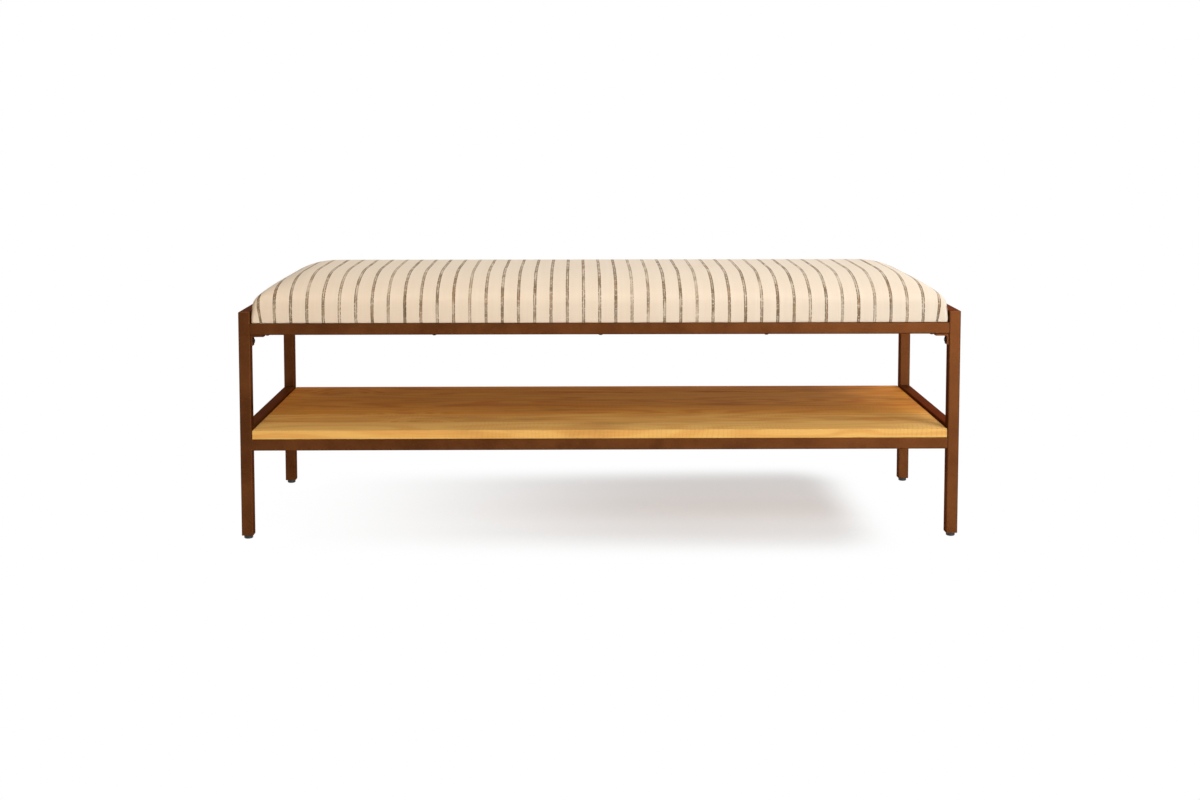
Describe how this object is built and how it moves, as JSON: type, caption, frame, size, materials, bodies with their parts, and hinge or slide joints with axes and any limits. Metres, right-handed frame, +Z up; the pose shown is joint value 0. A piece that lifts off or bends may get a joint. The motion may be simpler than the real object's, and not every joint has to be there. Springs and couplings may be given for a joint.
{
  "type": "upholstered bench",
  "caption": "Low bench of slim square steel tube with a crowned, striped cloth seat pad, a wooden plank shelf below and screw-adjusted levelling feet.",
  "frame": {"origin": "middle of the bench on the floor, with the feet screwed in", "axes": "+X along the bench, +Y from the front to the back, +Z up"},
  "size_m": [1.372, 0.457, 0.503],
  "materials": {
    "frame_paint": "satin copper-brown paint",
    "dark_screw": "blackened steel",
    "bright_steel": "zinc plated",
    "plank_wood": "waxed, sawn grain",
    "plywood": "raw",
    "foam": "open-cell foam",
    "striped_cloth": "woven, with thin brown stripes",
    "dust_cloth": "non-woven",
    "black_plastic": "moulded"
  },
  "bodies": {
    "bench": {"front_left_leg": "frame_paint", "front_left_bracket": "frame_paint", "front_left_leg_plug": "black_plastic", "front_right_leg": "frame_paint", "front_right_bracket": "frame_paint", "front_right_leg_plug": "black_plastic", "back_left_leg": "frame_paint", "back_left_bracket": "frame_paint", "back_left_leg_plug": "black_plastic", "back_right_leg": "frame_paint", "back_right_bracket": "frame_paint", "back_right_leg_plug": "black_plastic", "left_top_end_rail": "frame_paint", "left_shelf_end_rail": "frame_paint", "right_top_end_rail": "frame_paint", "right_shelf_end_rail": "frame_paint", "front_seat_rail": "frame_paint", "front_shelf_rail": "frame_paint", "back_seat_rail": "frame_paint", "back_shelf_rail": "frame_paint", "shelf_cross_bar_1": "frame_paint", "shelf_cross_bar_2": "frame_paint", "shelf_cross_bar_3": "frame_paint", "shelf_plank_1": "plank_wood", "shelf_plank_2": "plank_wood", "shelf_plank_3": "plank_wood", "shelf_plank_4": "plank_wood", "shelf_plank_5": "plank_wood", "shelf_plank_6": "plank_wood", "bracket_bolts": "dark_screw", "bracket_nuts": "bright_steel", "shelf_screws": "dark_screw", "seat_screws": "dark_screw", "seat_board": "plywood", "seat_foam": "foam", "seat_cover": "striped_cloth", "dust_cover": "dust_cloth", "staples": "bright_steel"},
    "front_left_pad": {"front_left_foot_pad": "black_plastic"},
    "front_left_stud": {"front_left_foot_stud": "bright_steel"},
    "front_right_pad": {"front_right_foot_pad": "black_plastic"},
    "front_right_stud": {"front_right_foot_stud": "bright_steel"},
    "back_left_pad": {"back_left_foot_pad": "black_plastic"},
    "back_left_stud": {"back_left_foot_stud": "bright_steel"},
    "back_right_pad": {"back_right_foot_pad": "black_plastic"},
    "back_right_stud": {"back_right_foot_stud": "bright_steel"}
  },
  "joints": [
    {"name": "front_left_foot_travel", "type": "slide", "parent": "bench", "child": "front_left_pad", "axis": [0, 0, -1], "range_m": [0, 0.01]},
    {"name": "front_left_stud_turn", "type": "hinge", "parent": "front_left_pad", "child": "front_left_stud", "pos_m": [-0.675, -0.2175, 0.02], "axis": [0, 0, -1], "range_deg": [0, 2880]},
    {"name": "front_right_foot_travel", "type": "slide", "parent": "bench", "child": "front_right_pad", "axis": [0, 0, -1], "range_m": [0, 0.01]},
    {"name": "front_right_stud_turn", "type": "hinge", "parent": "front_right_pad", "child": "front_right_stud", "pos_m": [0.675, -0.2175, 0.02], "axis": [0, 0, -1], "range_deg": [0, 2880]},
    {"name": "back_left_foot_travel", "type": "slide", "parent": "bench", "child": "back_left_pad", "axis": [0, 0, -1], "range_m": [0, 0.01]},
    {"name": "back_left_stud_turn", "type": "hinge", "parent": "back_left_pad", "child": "back_left_stud", "pos_m": [-0.675, 0.2175, 0.02], "axis": [0, 0, -1], "range_deg": [0, 2880]},
    {"name": "back_right_foot_travel", "type": "slide", "parent": "bench", "child": "back_right_pad", "axis": [0, 0, -1], "range_m": [0, 0.01]},
    {"name": "back_right_stud_turn", "type": "hinge", "parent": "back_right_pad", "child": "back_right_stud", "pos_m": [0.675, 0.2175, 0.02], "axis": [0, 0, -1], "range_deg": [0, 2880]}
  ],
  "couplings": [
    {"joint": "front_left_stud_turn", "follows": "front_left_foot_travel", "rad_per_m": 5026.5},
    {"joint": "front_right_stud_turn", "follows": "front_right_foot_travel", "rad_per_m": 5026.5},
    {"joint": "back_left_stud_turn", "follows": "back_left_foot_travel", "rad_per_m": 5026.5},
    {"joint": "back_right_stud_turn", "follows": "back_right_foot_travel", "rad_per_m": 5026.5}
  ]
}
